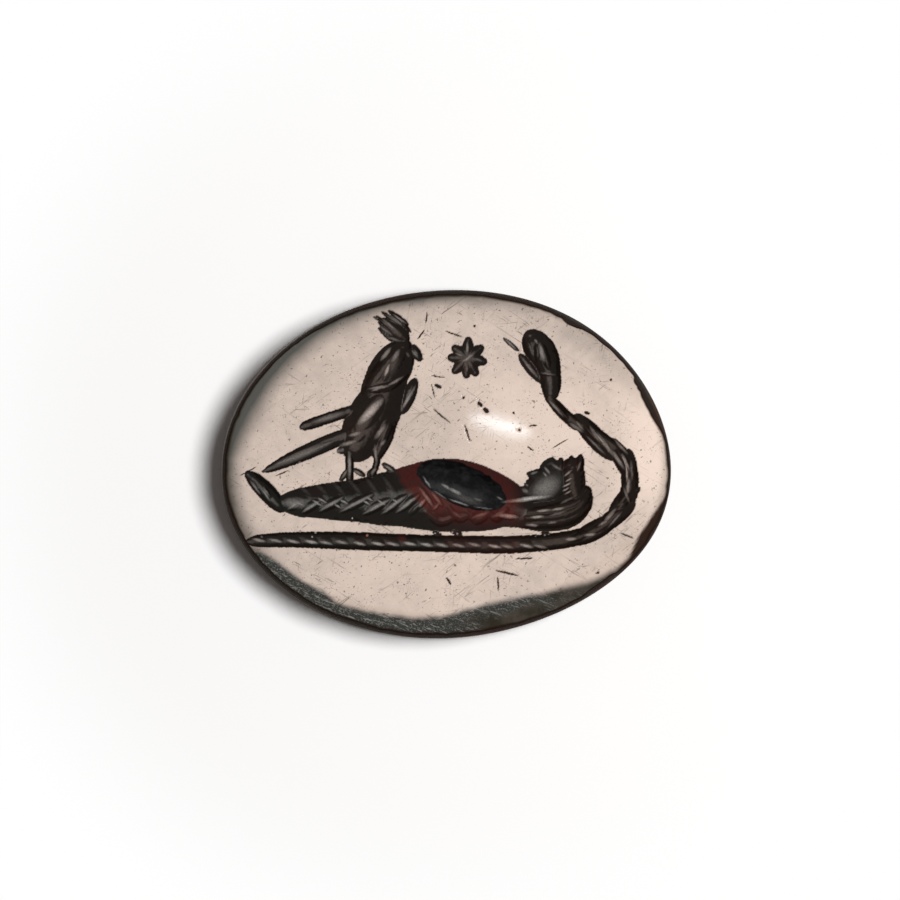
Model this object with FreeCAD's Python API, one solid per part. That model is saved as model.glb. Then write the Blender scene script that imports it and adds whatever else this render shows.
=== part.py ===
import FreeCAD, Part
import math
import os

from FreeCAD import Vector

# Overall size of the stone, in millimetres.
LENGTH = 20.0
WIDTH = 15.5
THICKNESS = 3.5

# Section through the edge: flat back, bevel out to the girdle, side leaning in to the face.
GIRDLE_HEIGHT = 1.2
BACK_INSET = 0.7
FACE_INSET = 0.3

# Domed face, and the worn shoulder that rolls away along its lower edge.
DOME_RADIUS = 100.0
SHOULDER_RADIUS = 36.0
SHOULDER_REACH = 13.1
SHOULDER_X = -0.6
SHOULDER_Y = 6.5

# The outline is an ellipse with a few small waves: wave number, then cosine and sine shares of the radius.
OUTLINE_WAVE_SHARES = (
    (1, -0.002, -0.005),
    (2, 0.0, 0.011),
    (3, 0.0, -0.007),
    (4, 0.0, -0.005),
    (5, 0.0, -0.003),
)
OUTLINE_POINTS = 48
QUARTER_TURN = 90.0
FULL_TURN = 360.0

# The rim of each cutting wheel is ground in narrow bands of about this width.
BAND_WIDTH = 0.2

# Each wheel cut is: start x, start y, end x, end y, width and depth.
# The places are shares of the length along the stone and of the width across it, and the rest are shares
# of the length.
# The bird, standing at the upper left and facing right.
BIRD_SHARES = (
    # crown of plumes
    (-0.154, 0.423, -0.116, 0.354, 0.018, 0.008),
    (-0.145, 0.434, -0.103, 0.359, 0.020, 0.009),
    (-0.129, 0.434, -0.087, 0.374, 0.020, 0.009),
    (-0.116, 0.437, -0.080, 0.394, 0.018, 0.008),
    # head and beak
    (-0.135, 0.387, -0.084, 0.368, 0.045, 0.012),
    (-0.080, 0.342, -0.055, 0.294, 0.021, 0.008),
    # breast, belly and folded wing
    (-0.096, 0.352, -0.162, 0.191, 0.090, 0.022),
    (-0.107, 0.298, -0.187, 0.126, 0.085, 0.021),
    (-0.128, 0.250, -0.188, 0.049, 0.098, 0.024),
    (-0.066, 0.252, -0.102, 0.134, 0.030, 0.013),
    # thighs
    (-0.245, 0.034, -0.160, 0.072, 0.024, 0.010),
    (-0.130, 0.123, -0.158, 0.023, 0.036, 0.013),
    # legs and toes
    (-0.222, 0.046, -0.209, -0.052, 0.018, 0.008),
    (-0.162, 0.052, -0.152, -0.026, 0.016, 0.007),
    (-0.213, -0.015, -0.237, -0.052, 0.011, 0.005),
    (-0.210, -0.012, -0.177, -0.037, 0.011, 0.005),
    (-0.143, 0.004, -0.111, -0.023, 0.011, 0.005),
    # the two strokes of the tail
    (-0.324, 0.106, -0.187, 0.161, 0.023, 0.010),
    (-0.410, -0.019, -0.205, 0.090, 0.032, 0.013),
)

# The wrapped mummy, lying on its back across the middle with its head to the right.
MUMMY_SHARES = (
    # feet
    (-0.438, -0.023, -0.360, -0.129, 0.040, 0.016),
    # shins, thighs and body
    (-0.385, -0.111, -0.190, -0.103, 0.066, 0.024),
    (-0.320, -0.108, -0.020, -0.098, 0.112, 0.032),
    (-0.150, -0.093, 0.165, -0.111, 0.152, 0.036),
    # deep hollow of the belly
    (-0.058, -0.014, 0.133, -0.114, 0.086, 0.042),
    # neck and shoulder
    (0.105, -0.121, 0.230, -0.078, 0.030, 0.014),
    (0.100, -0.142, 0.168, -0.160, 0.016, 0.007),
)

# The wrapping of the mummy: a zigzag of strokes sunk into the floor of its hollow, from ankles to belly.
WRAP_START_X_SHARE = -0.335
WRAP_END_X_SHARE = -0.035
WRAP_Y_SHARE = -0.111
WRAP_STROKES = 14
WRAP_RUN_SHARE = 0.019
WRAP_RISE_SHARE = 0.028
WRAP_WIDTH_SHARE = 0.011
WRAP_DEPTH_SHARE = 0.0052

# The head, in profile and looking up: brow, cheek, nose, lips and chin on even thirds, then the headcloth.
HEAD_SHARES = (
    # face and jaw
    (0.190, -0.098, 0.265, -0.009, 0.048, 0.016),
    (0.176, -0.094, 0.211, -0.065, 0.027, 0.011),
    # brow, nose, lips and chin
    (0.221, -0.010, 0.236, -0.023, 0.009, 0.004),
    (0.191, -0.035, 0.222, -0.019, 0.011, 0.006),
    (0.186, -0.053, 0.197, -0.063, 0.008, 0.004),
    (0.172, -0.074, 0.187, -0.076, 0.010, 0.005),
    # front of the headcloth and the two long lappets
    (0.262, 0.023, 0.306, -0.093, 0.058, 0.018),
    (0.270, -0.039, 0.320, -0.124, 0.050, 0.016),
    (0.150, -0.139, 0.322, -0.111, 0.056, 0.017),
    (0.190, -0.175, 0.304, -0.145, 0.036, 0.012),
)

# The star of eight rays: four crossing cuts.
STAR_SHARES = (
    (0.049, 0.360, 0.044, 0.252, 0.023, 0.009),
    (0.005, 0.305, 0.086, 0.292, 0.023, 0.009),
    (0.079, 0.334, 0.017, 0.263, 0.023, 0.009),
    (0.017, 0.334, 0.067, 0.257, 0.022, 0.009),
)

# The serpent: a straight lower run of leaning cuts, the turn up at the right, then the reared hood.
RUN_START_X_SHARE = -0.412
RUN_END_X_SHARE = 0.262
RUN_Y_SHARE = -0.222
RUN_CUTS = 16
RUN_LENGTH_SHARE = 0.078
RUN_LEAN_SHARE = 0.026
RUN_WIDTH_SHARE = 0.028
RUN_DEPTH_SHARE = 0.012
COIL_SHARES = (
    # tail tip at the rim
    (-0.444, -0.219, -0.385, -0.218, 0.022, 0.009),
    # the turn, from the lower right upwards
    (0.225, -0.222, 0.312, -0.194, 0.038, 0.015),
    (0.290, -0.206, 0.375, -0.152, 0.042, 0.016),
    (0.350, -0.173, 0.410, -0.085, 0.046, 0.017),
    (0.385, -0.119, 0.412, 0.000, 0.042, 0.016),
    (0.352, 0.074, 0.422, -0.068, 0.044, 0.017),
    (0.272, 0.134, 0.379, 0.013, 0.042, 0.016),
    (0.300, 0.134, 0.400, 0.026, 0.036, 0.013),
    (0.222, 0.199, 0.296, 0.111, 0.030, 0.012),
    # hood, jaw and forked tongue
    (0.180, 0.392, 0.240, 0.175, 0.074, 0.023),
    (0.200, 0.346, 0.243, 0.188, 0.072, 0.021),
    (0.156, 0.310, 0.210, 0.227, 0.014, 0.006),
    (0.124, 0.363, 0.166, 0.323, 0.011, 0.005),
)

# Losses along the upper right edge.
CHIP_SHARES = (
    (0.420, 0.253, 0.482, 0.090, 0.040, 0.013),
    (0.262, 0.415, 0.300, 0.390, 0.020, 0.008),
)


def outline_points():
    """Points round the outline, fitted to the stated length and width and centred."""
    raw = []
    for index in range(OUTLINE_POINTS):
        turn = 2 * math.pi * index / OUTLINE_POINTS
        swell = 1.0
        for wave, cosine_share, sine_share in OUTLINE_WAVE_SHARES:
            swell += cosine_share * math.cos(wave * turn) + sine_share * math.sin(wave * turn)
        raw.append(Vector(LENGTH / 2 * swell * math.cos(turn), WIDTH / 2 * swell * math.sin(turn), 0))
    rim = closed_curve(raw).discretize(Number=OUTLINE_POINTS * OUTLINE_POINTS)
    along = [point.x for point in rim]
    across = [point.y for point in rim]
    fitted = []
    for point in raw:
        x = (point.x - (max(along) + min(along)) / 2) * LENGTH / (max(along) - min(along))
        y = (point.y - (max(across) + min(across)) / 2) * WIDTH / (max(across) - min(across))
        fitted.append(Vector(x, y, 0))
    return fitted


def closed_curve(points):
    """One smooth closed wire through the points."""
    curve = Part.BSplineCurve()
    curve.interpolate(points, PeriodicFlag=True)
    return Part.Wire(curve.toShape())


def section(points, inset, height):
    """The outline drawn in by an inset and lifted to a height."""
    along = 1 - inset / (LENGTH / 2)
    across = 1 - inset / (WIDTH / 2)
    return closed_curve([Vector(p.x * along, p.y * across, height) for p in points])


def ball(radius, x, y, top):
    """A large ball whose highest point stands at the given place, with its poles to the sides."""
    solid = Part.makeSphere(radius)
    sideways = FreeCAD.Rotation(Vector(1, 0, 0), QUARTER_TURN)
    solid.Placement = FreeCAD.Placement(Vector(x, y, top - radius), sideways)
    return solid


def blank():
    """The stone before engraving: bevelled back, leaning side, domed face and worn shoulder."""
    points = outline_points()
    back = section(points, BACK_INSET, 0)
    girdle = section(points, 0, GIRDLE_HEIGHT)
    face = section(points, FACE_INSET, THICKNESS)
    bevel = Part.makeLoft([back, girdle], True, True)
    side = Part.makeLoft([girdle, face], True, True)
    stone = bevel.fuse(side).common(ball(DOME_RADIUS, 0, 0, THICKNESS))
    share = 1 - SHOULDER_RADIUS / DOME_RADIUS
    x = SHOULDER_X * share
    y = SHOULDER_Y * share
    foot_x = SHOULDER_X
    foot_y = SHOULDER_Y - SHOULDER_REACH
    fall = math.hypot(foot_x - x, foot_y - y)
    top = face_height(foot_x, foot_y) + SHOULDER_RADIUS - math.sqrt(SHOULDER_RADIUS**2 - fall**2)
    return stone.common(ball(SHOULDER_RADIUS, x, y, top))


def face_height(x, y):
    """Height of the domed face above the back."""
    return THICKNESS - DOME_RADIUS + math.sqrt(DOME_RADIUS**2 - x**2 - y**2)


def wheel_size(run, width, depth):
    """Radius of the round rim and of the whole wheel for a hollow of this length, width and depth."""
    rim = (width**2 / 4 + depth**2) / (2 * depth)
    sweep = (run**2 / 4 + depth**2) / (2 * depth)
    return rim, sweep


def floor_drop(rows, x, y):
    """How far the floor of a group of hollows lies below the face at one place."""
    drop = 0.0
    for x0, y0, x1, y1, width, depth in rows:
        run = math.hypot(x1 - x0, y1 - y0)
        rim, sweep = wheel_size(run, width, depth)
        along = ((x - x0) * (x1 - x0) + (y - y0) * (y1 - y0)) / run - run / 2
        aside = ((y - y0) * (x1 - x0) - (x - x0) * (y1 - y0)) / run
        if abs(aside) < rim:
            reach = sweep - rim + math.sqrt(rim**2 - aside**2)
            if abs(along) < reach:
                drop = max(drop, math.sqrt(reach**2 - along**2) - sweep + depth)
    return drop


def wheel_cut(x0, y0, x1, y1, width, depth, below=()):
    """A wheel whose hollow is deepest in the middle and runs out at both ends, in the face or below it."""
    start = Vector(x0, y0, face_height(x0, y0) - floor_drop(below, x0, y0))
    end = Vector(x1, y1, face_height(x1, y1) - floor_drop(below, x1, y1))
    run = end - start
    rim, sweep = wheel_size(run.Length, width, depth)
    axle = Vector(0, 0, 1).cross(run).normalize()
    up = run.cross(axle).normalize()
    bands = max(1, round(math.pi * rim / BAND_WIDTH / 2))
    step = math.pi / (2 * bands + 1)
    turns = [step * (index + 1 / 2) for index in range(-bands - 1, bands + 1)]
    profile = [Vector(sweep - rim + rim * math.cos(turn), 0, rim * math.sin(turn)) for turn in turns]
    profile = [Vector(0, 0, -rim)] + profile + [Vector(0, 0, rim), Vector(0, 0, -rim)]
    wheel = Part.Face(Part.makePolygon(profile)).revolve(Vector(), Vector(0, 0, 1), FULL_TURN)
    hub = (start + end) * 0.5 + up * (sweep - depth)
    wheel.Placement = FreeCAD.Placement(hub, FreeCAD.Rotation(up, run, axle, "ZXY"))
    return wheel


def lengths(rows):
    """Rows of shares as rows of lengths, with x and y following the stone's length and width."""
    scale = (LENGTH, WIDTH, LENGTH, WIDTH, LENGTH, LENGTH)
    return [[share * size for share, size in zip(row, scale)] for row in rows]


def cuts(rows, below=()):
    """Wheel cuts from rows of shares, in the face or in the floor of other rows."""
    floor = lengths(below)
    return [wheel_cut(*row, floor) for row in lengths(rows)]


def serpent_run():
    """The straight lower run of the serpent, overlapping cuts that lean like the turns of a rope."""
    step = (RUN_END_X_SHARE - RUN_START_X_SHARE) / (RUN_CUTS - 1)
    rows = []
    for index in range(RUN_CUTS):
        x = RUN_START_X_SHARE + step * index
        left = (x - RUN_LENGTH_SHARE / 2, RUN_Y_SHARE + RUN_LEAN_SHARE / 2)
        right = (x + RUN_LENGTH_SHARE / 2, RUN_Y_SHARE - RUN_LEAN_SHARE / 2)
        rows.append(left + right + (RUN_WIDTH_SHARE, RUN_DEPTH_SHARE))
    return cuts(rows)


def wrapping():
    """The zigzag of bandage strokes along the floor of the mummy's hollow."""
    step = (WRAP_END_X_SHARE - WRAP_START_X_SHARE) / (WRAP_STROKES - 1)
    rows = []
    for index in range(WRAP_STROKES):
        x = WRAP_START_X_SHARE + step * index
        rise = WRAP_RISE_SHARE / 2 * (-1)**index
        left = (x - WRAP_RUN_SHARE / 2, WRAP_Y_SHARE + rise)
        right = (x + WRAP_RUN_SHARE / 2, WRAP_Y_SHARE - rise)
        rows.append(left + right + (WRAP_WIDTH_SHARE, WRAP_DEPTH_SHARE))
    return cuts(rows, MUMMY_SHARES)


def engraved_stone():
    """The finished stone, with every figure cut into the face one stroke after another."""
    stone = blank()
    wheels = serpent_run()
    for rows in (CHIP_SHARES, MUMMY_SHARES, HEAD_SHARES, BIRD_SHARES, STAR_SHARES, COIL_SHARES):
        wheels += cuts(rows)
    for wheel in wheels + wrapping():
        stone = stone.cut(wheel)
    return stone.Solids[0]


os.makedirs("parts", exist_ok=True)
engraved_stone().exportStep("parts/engraved_stone.step")
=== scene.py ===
import math

import bpy
import numpy as np
from bpy.props import FloatProperty, FloatVectorProperty, PointerProperty
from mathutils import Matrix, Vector


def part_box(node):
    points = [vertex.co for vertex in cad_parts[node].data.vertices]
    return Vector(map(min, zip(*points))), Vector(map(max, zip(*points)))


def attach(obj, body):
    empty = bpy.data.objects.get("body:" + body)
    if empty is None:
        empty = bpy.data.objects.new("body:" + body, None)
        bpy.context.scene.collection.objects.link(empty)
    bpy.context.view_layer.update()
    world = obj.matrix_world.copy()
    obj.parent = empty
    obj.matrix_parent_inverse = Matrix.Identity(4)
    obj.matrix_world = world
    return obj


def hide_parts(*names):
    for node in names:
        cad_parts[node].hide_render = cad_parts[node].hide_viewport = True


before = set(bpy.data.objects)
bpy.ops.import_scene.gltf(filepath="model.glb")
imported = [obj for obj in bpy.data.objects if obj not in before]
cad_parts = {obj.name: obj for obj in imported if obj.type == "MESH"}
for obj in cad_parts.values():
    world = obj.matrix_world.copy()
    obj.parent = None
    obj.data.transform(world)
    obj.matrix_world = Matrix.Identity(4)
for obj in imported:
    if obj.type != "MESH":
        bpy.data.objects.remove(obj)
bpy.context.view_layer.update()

bl_info = {
    "name": "Engraved ringstone",
    "version": (1, 0, 0),
    "blender": (4, 5, 0),
    "location": "3D View > Sidebar > Ringstone",
    "description": "Carves an oval jasper ringstone with its engraved figures and sets it on a studio floor",
    "category": "Object",
}

NODE = "engraved_stone"
LOW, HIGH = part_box(NODE)
MM = 0.001

# The outline is an ellipse with a few small waves: wave number, then cosine and sine shares of the radius.
OUTLINE_WAVE_SHARES = (
    (1, -0.002, -0.005), (2, 0.0, 0.011), (3, 0.0, -0.007), (4, 0.0, -0.005), (5, 0.0, -0.003),
)

# Places of the engraving are in steps from the stone's middle, 450 of which make its length.
STEPS_ALONG = 449.5

# A ribbon is a hollow along a curve: each of its nodes is x, y, width and depth.
# A lens is the cut of a wheel: start x, start y, end x, end y, width and depth.
BREAST = ((-43, 115, 20, 7), (-48, 106, 34, 9), (-56, 93, 41, 10), (-64, 79, 38, 10), (-74, 68, 24, 8))
BELLY = ((-54, 80, 30, 8), (-62, 66, 43, 10), (-71, 50, 50, 10), (-80, 34, 48, 10), (-88, 19, 34, 8))
CROWN = ((-62, 142, 8, 4), (-54, 136, 18, 5), (-46, 129, 18, 5), (-41, 125, 10, 4))
TUFT = ((-56, 42, 16, 6), (-62, 26, 18, 6), (-68, 10, 12, 5))
UPPER_TAIL = ((-143, 37, 6, 2), (-135, 40, 11, 3.5), (-96, 53, 11, 3.5))
LOWER_TAIL = ((-182, -7, 3, 1), (-172, -3, 9, 3), (-146, 9, 15, 4), (-116, 22, 16, 4), (-96, 30, 14, 4))
LEFT_LEG = ((-96, 16, 9, 5), (-96, -14, 8, 4))
RIGHT_LEG = ((-71, 24, 13, 5), (-70, 12, 8, 4), (-69, 2, 7, 4), (-73, -10, 7, 4))
BIRD_RIBBONS = (BREAST, BELLY, CROWN, TUFT)
TAIL_RIBBONS = (UPPER_TAIL, LOWER_TAIL, LEFT_LEG, RIGHT_LEG)
BIRD_LENSES = (
    (-109, 12, -70, 27, 14, 4), (-30, 86, -45, 49, 14, 5), (-34, 119, -25, 102, 10, 4),
    (-96, -4, -106, -17, 6, 2.5), (-93, -4, -80, -12, 6, 2.5), (-69, -2, -79, -12, 6, 2.5),
    (-64, 1, -49, -9, 7, 2.5),
    # plumes of the crown
    (-70, 148, -48, 128, 5, 4.5), (-65, 152, -42, 136, 5, 4.5), (-58, 153, -37, 138, 6, 5),
    (-52, 150, -35, 131, 5, 4.5), (-68, 142, -51, 122, 5, 4.5), (-62, 144, -41, 124, 6, 5.5),
    (-68, 136, -52, 121, 5, 4), (-73, 147, -64, 142, 3, 1.5),
)
BAND = ((-83, 74, 4, 1), (-66, 75, 9, 2.5), (-53, 79, 9, 2.5), (-39, 89, 4, 1))
BIRD_STROKES = (
    # feathers of the breast
    (-48, 116, -80, 76, 13, 2.5), (-53, 105, -63, 82, 8, 2.2), (-42, 115, -58, 88, 14, 2),
    # belly, thighs and folded wing
    (-64, 70, -92, 33, 24, 2), (-98, 22, -80, 30, 9, 0.9), (-56, 46, -66, 18, 12, 2),
    (-33, 79, -40, 62, 4, 1.2), (-38, 66, -44, 53, 5, 1.2),
)
TAIL_STROKES = (
    (-168, -1, -104, 26, 6, 0.8), (-140, 39, -98, 53, 4, 0.7), (-160, 7, -128, 20, 3, 0.6),
    (-95, 10, -95, -14, 3, 0.8),
)
STAR_MIDDLE = (21, 106)
STAR_TIPS = ((22, 123), (34, 115), (37, 102), (29, 91), (20, 89), (9, 93), (5, 106), (9, 115))
FEET = ((-197, -10, 8, 3), (-189, -17, 16, 6), (-176, -30, 18, 6), (-166, -41, 14, 5), (-161, -44, 6, 2))
SHROUD = (
    (-164, -38, 14, 4), (-146, -38, 28, 7), (-126, -37, 34, 9), (-106, -36.5, 39, 10), (-84, -36, 44, 12),
    (-61, -34.5, 53, 13), (-44, -33, 58, 14), (-24, -31.5, 67, 15), (-4, -30.5, 73, 15),
    (16, -31.7, 71, 15), (36, -35, 63, 14), (54, -38, 50, 12), (68, -43, 40, 10), (78, -47, 32, 8),
)
BELLY_BOWL = (-28, -4, 59, -38, 41, 5)
MUMMY_STROKES = (
    # toes and instep
    (-194, -15, -187, -26, 3, 1.2), (-186, -23, -180, -35, 4, 1.4), (-181, -22, -174, -34, 3, 1.2),
    # crossing bands beside the belly
    (-28, -20, -11, -45, 6, 1.6), (-16, -26, -3, -43, 6, 1.4), (-38, -52, -24, -38, 6, 1.4),
    (-26, -43, -20, -34, 5, 1.2), (-14, -46, -6, -38, 5, 1),
)
BROAD_BANDS = (
    (-158, -45, -144, -36), (-144, -48, -125, -36), (-127, -47, -101, -32), (-107, -48, -71, -29),
    (-84, -50, -54, -34), (-65, -50, -38, -30), (-51, -49, -25, -29),
)
THIN_BANDS = (
    (-152, -36, -140, -42), (-134, -35, -123, -42), (-128, -33, -118, -39), (-112, -39, -104, -44),
    (-106, -35, -97, -40), (-84, -35, -75, -41), (-81, -32, -72, -37), (-69, -35, -60, -41),
    (-54, -34, -47, -39),
)
FOLDS = (
    ((3, -43, 6, 1), (12, -54, 9, 1.8), (25, -50, 6, 1)),
    ((20, -47, 6, 1), (31, -56, 9, 1.8), (43, -49, 6, 1)),
    ((40, -46, 6, 1), (50, -54, 8, 1.8), (60, -45, 6, 1)),
    ((-20, -48, 6, 1), (-6, -58, 9, 1.8), (9, -53, 6, 1)),
)
NECK = ((62, -37, 18, 6), (82, -34, 16, 6), (98, -32, 14, 5))
NECK_STROKES = ((58, -38, 99, -32, 7, 2.2), (49, -51, 73, -52, 7, 2))
CLOTH_FRONT = ((125, -4, 22, 6), (125, -10, 26, 8), (126, -20, 26, 8), (129, -31, 22, 8))
CLOTH_PEAKS = ((130, -14, 134, 10, 10, 6), (113, -14, 114, 7, 9, 5), (122, -6, 125, 9, 7, 4))
CLOTH_BACK = (
    (139, -27, 12, 5), (133, -38, 25, 8), (119, -46, 36, 9), (99, -50, 34, 9), (82, -51, 28, 8),
    (66, -53, 18, 6),
)
CLOTH_STRANDS = (
    ((139, -24, 6, 1), (131, -36, 9, 1.6), (112, -43, 10, 1.8), (82, -47, 6, 1)),
    ((141, -32, 6, 1), (131, -45, 9, 1.6), (110, -52, 10, 1.8), (80, -54, 6, 1)),
    ((142, -42, 6, 1), (127, -54, 9, 1.6), (106, -59, 9, 1.6), (80, -61, 5, 1)),
)
SERPENT = (
    (-197, -77, 6, 2), (-184, -76, 13, 4), (-146, -75, 16, 5), (-96, -76, 18, 6), (-36, -78, 17, 6),
    (4, -79, 17, 6), (54, -80, 18, 6), (94, -78, 17, 6), (124, -74, 17, 6), (144, -69, 17, 6),
    (159, -60, 16, 6), (172, -46, 15, 5), (179, -31, 15, 5), (182, -16, 15, 5), (181, 0, 14, 5),
    (174, 12, 13, 5), (162, 20, 13, 5), (149, 30, 13, 5), (134, 38, 12, 5), (120, 48, 10, 4),
    (110, 58, 9, 4), (103, 66, 9, 4),
)
HOOD = (
    (84, 127, 14, 4), (88, 121, 26, 7), (94, 112, 31, 9), (99, 103, 28, 9), (102, 92, 24, 8),
    (104, 80, 21, 7), (104, 71, 16, 5),
)
SERPENT_LENSES = ((72, 110, 97, 80, 12, 4), (56, 126, 73, 112, 5, 2), (184, -30, 193, -23, 7, 3))
TURNS = (
    (97, 71, 133, 33, 12, 5), (127, 50, 168, 4, 20, 7), (164, 26, 188, -20, 18, 7),
    (181, 16, 184, -42, 18, 6.5), (190, -19, 162, -54, 17, 6.5), (188, -37, 147, -68, 18, 6.5),
    (168, -52, 122, -79, 17, 6),
)
SERPENT_STROKES = (
    (120, -77, 146, -66, 8, 1.2), (140, -70, 168, -54, 8, 1.2), (160, -58, 180, -38, 8, 1.2),
    (172, -40, 186, -20, 7, 1.2), (178, -22, 184, 8, 6, 1.2), (168, 18, 186, -8, 7, 1.6),
    (150, 28, 166, 8, 7, 1.6), (136, 40, 156, 18, 6, 1.6), (104, 64, 122, 44, 5, 1.2),
    # folds of the hood
    (90, 122, 91, 101, 6, 1.6), (95, 121, 103, 93, 8, 2), (78, 127, 86, 102, 8, 1.6),
    (92, 90, 108, 89, 2.5, 1),
)
FLAWS = (
    # chips beside the figures and at the rim
    (-14, -67, -4, -71, 5, 2), (2, -64, 16, -70, 7, 2), (94, -67, 106, -73, 7, 2),
    (119, 146, 136, 136, 9, 3),
    # pits
    (-12, 79, -4, 76, 4, 1.2), (31, 62, 36, 57, 4, 1.2), (37, 56, 42, 51, 5, 1.2), (16, 67, 18, 65, 3, 1),
    (66, 52, 68, 50, 3, 1), (72, 35, 74, 33, 3, 1), (163, 85, 165, 83, 3, 1), (137, 52, 143, 50, 4, 1.2),
    (27, 138, 29, 137, 3, 1), (150, -107, 152, -109, 3, 1),
    # scratches
    (-14, 56, 5, 40, 2, 0.8), (18, 41, 24, 22, 2, 0.8), (-2, 133, 17, 126, 2, 0.7),
    (-16, 88, 0, 86, 1.5, 0.6), (-15, 81, -11, 65, 1.5, 0.6), (82, 38, 91, 39, 2, 0.7),
    (80, 18, 87, 13, 2, 0.7), (104, 15, 122, 26, 1.5, 0.6), (48, -105, 73, -111, 2.5, 0.9),
    (68, -94, 87, -93, 2, 0.8), (51, -111, 52, -127, 2, 0.8), (0, -112, 5, -120, 2.5, 0.9),
    (172, -68, 187, -74, 2, 0.7), (-19, 152, -20, 139, 1.5, 0.6), (-29, 124, -21, 134, 2, 0.7),
    (-171, -12, -156, -6, 1.5, 0.6), (-206, -12, -188, -2, 1.5, 0.6),
)

# Painted highlights along the floors of the cuts: start x, start y, end x, end y, width and strength.
SHINES = (
    # bird: wing, breast, band, belly, thighs, arm and beak
    (-68, 82, -44, 106, 16, 0.07), (-66, 102, -54, 117, 5, 0.5), (-62, 86, -56, 101, 4, 0.7),
    (-55, 100, -46, 115, 6, 0.35), (-79, 75, -55, 78, 3.5, 0.45), (-60, 77, -41, 88, 3.5, 0.4),
    (-75, 73, -66, 75, 2, 0.4), (-90, 37, -61, 67, 10, 0.78), (-98, 28, -83, 32, 5, 0.4),
    (-72, 24, -59, 41, 6, 0.4), (-66, 17, -60, 25, 4, 0.35), (-108, 18, -86, 24, 5, 0.35),
    (-45, 53, -32, 76, 4, 0.5), (-38, 62, -30, 80, 3, 0.35), (-35, 114, -27, 105, 3, 0.3),
    (-40, 112, -36, 106, 3, 0.25),
    # crown
    (-60, 150, -42, 137, 3.5, 0.4), (-66, 147, -46, 130, 2.5, 0.35), (-54, 150, -38, 139, 2.5, 0.45),
    (-68, 139, -52, 127, 3, 0.3), (-61, 127, -44, 122, 3, 0.25),
    # legs, toes and tail
    (-96, 14, -96, -16, 4, 0.42), (-71, 21, -69, -1, 3.5, 0.35), (-69, -3, -75, -10, 4, 0.3),
    (-93, -5, -82, -12, 3, 0.3), (-98, -5, -104, -15, 3, 0.3), (-62, 0, -51, -8, 3, 0.4),
    (-138, 40, -96, 53, 7, 0.28), (-178, -5, -108, 25, 9, 0.26), (-176, -3, -140, 12, 3, 0.3),
    (-150, 6, -104, 27, 2.5, 0.25),
    # star
    (21, 123, 21, 109, 3, 0.4), (14, 100, 29, 111, 4, 0.4), (8, 111, 18, 107, 3, 0.28),
    (26, 106, 37, 102, 3, 0.2), (20, 90, 21, 100, 3, 0.2),
    # feet and ankles
    (-196, -15, -184, -31, 2.5, 0.4), (-187, -20, -174, -38, 2.5, 0.4), (-183, -22, -175, -33, 2, 0.3),
    (-164, -38, -136, -39, 13, 0.3),
    # neck, lappets and front of the headcloth
    (53, -38, 108, -31, 5.5, 0.75), (49, -50, 74, -53, 5.5, 0.8), (88, -47, 106, -45, 3, 0.55),
    (103, -46, 119, -43, 3, 0.5), (82, -53, 99, -52, 3.5, 0.55), (100, -52, 122, -46, 3, 0.2),
    (78, -60, 93, -61, 3.5, 0.45), (100, -59, 111, -57, 3, 0.3), (112, -40, 128, -32, 3, 0.2),
    (116, -13, 126, -5, 2.5, 0.4), (118, -18, 126, -13, 2, 0.6), (115, -23, 125, -18, 2.2, 0.6),
    (115, -27, 123, -23, 2, 0.6), (117, -30, 125, -26, 2, 0.5), (130, -8, 134, 4, 2.5, 0.25),
    # belly bowl and its rim
    (-6, -19, 6, -26, 3.5, 0.4), (1, -23, 17, -31, 4.5, 0.42), (25, -33, 38, -37, 4, 0.16),
    (0, -27, 40, -42, 10, 0.1), (-24, -11, -14, -25, 1.8, 0.5), (-14, -25, 2, -36, 1.6, 0.35),
    (1, -34, 24, -42, 2, 0.55), (26, -42, 48, -45, 1.6, 0.3), (50, -32, 57, -36, 1.8, 0.4),
    # red bands beside the belly
    (-28, -21, -11, -45, 4, 0.5), (-16, -26, -3, -42, 4, 0.4), (-28, -43, -20, -34, 4.5, 0.6),
    (-21, -30, -13, -41, 3.5, 0.4), (-14, -46, -6, -38, 4, 0.3), (5, -46, 16, -54, 4, 0.2),
    (24, -54, 44, -47, 4, 0.3), (44, -53, 60, -46, 4, 0.25),
    # serpent: hood, jaw, tongue and turns
    (92, 122, 98, 100, 6, 0.42), (87, 125, 92, 119, 3, 0.3), (93, 91, 110, 89, 2.5, 0.25),
    (77, 103, 89, 88, 3, 0.35), (57, 126, 71, 113, 3.5, 0.4), (100, 66, 118, 46, 3, 0.4),
    (121, 42, 137, 31, 4, 0.35), (128, 44, 137, 33, 3, 0.3), (142, 39, 154, 21, 4, 0.45),
    (145, 35, 161, 16, 2, 0.85), (174, 12, 180, -4, 1.8, 0.7), (179, 3, 180, -20, 2, 0.8),
    (149, 33, 168, 6, 4.5, 0.5), (137, 30, 160, 8, 3, 0.25), (166, 26, 182, 9, 3.5, 0.5),
    (163, 16, 178, -6, 4.5, 0.42), (175, 12, 183, -8, 3, 0.55), (184, 6, 185, -18, 3, 0.25),
    (182, -12, 180, -32, 4, 0.45), (176, -22, 183, -40, 3, 0.3), (170, -43, 156, -59, 5, 0.42),
    (176, -46, 160, -64, 3, 0.3), (150, -62, 162, -55, 4, 0.4), (136, -71, 150, -69, 4, 0.5),
    (117, -75, 131, -74, 4, 0.5),
)

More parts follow.
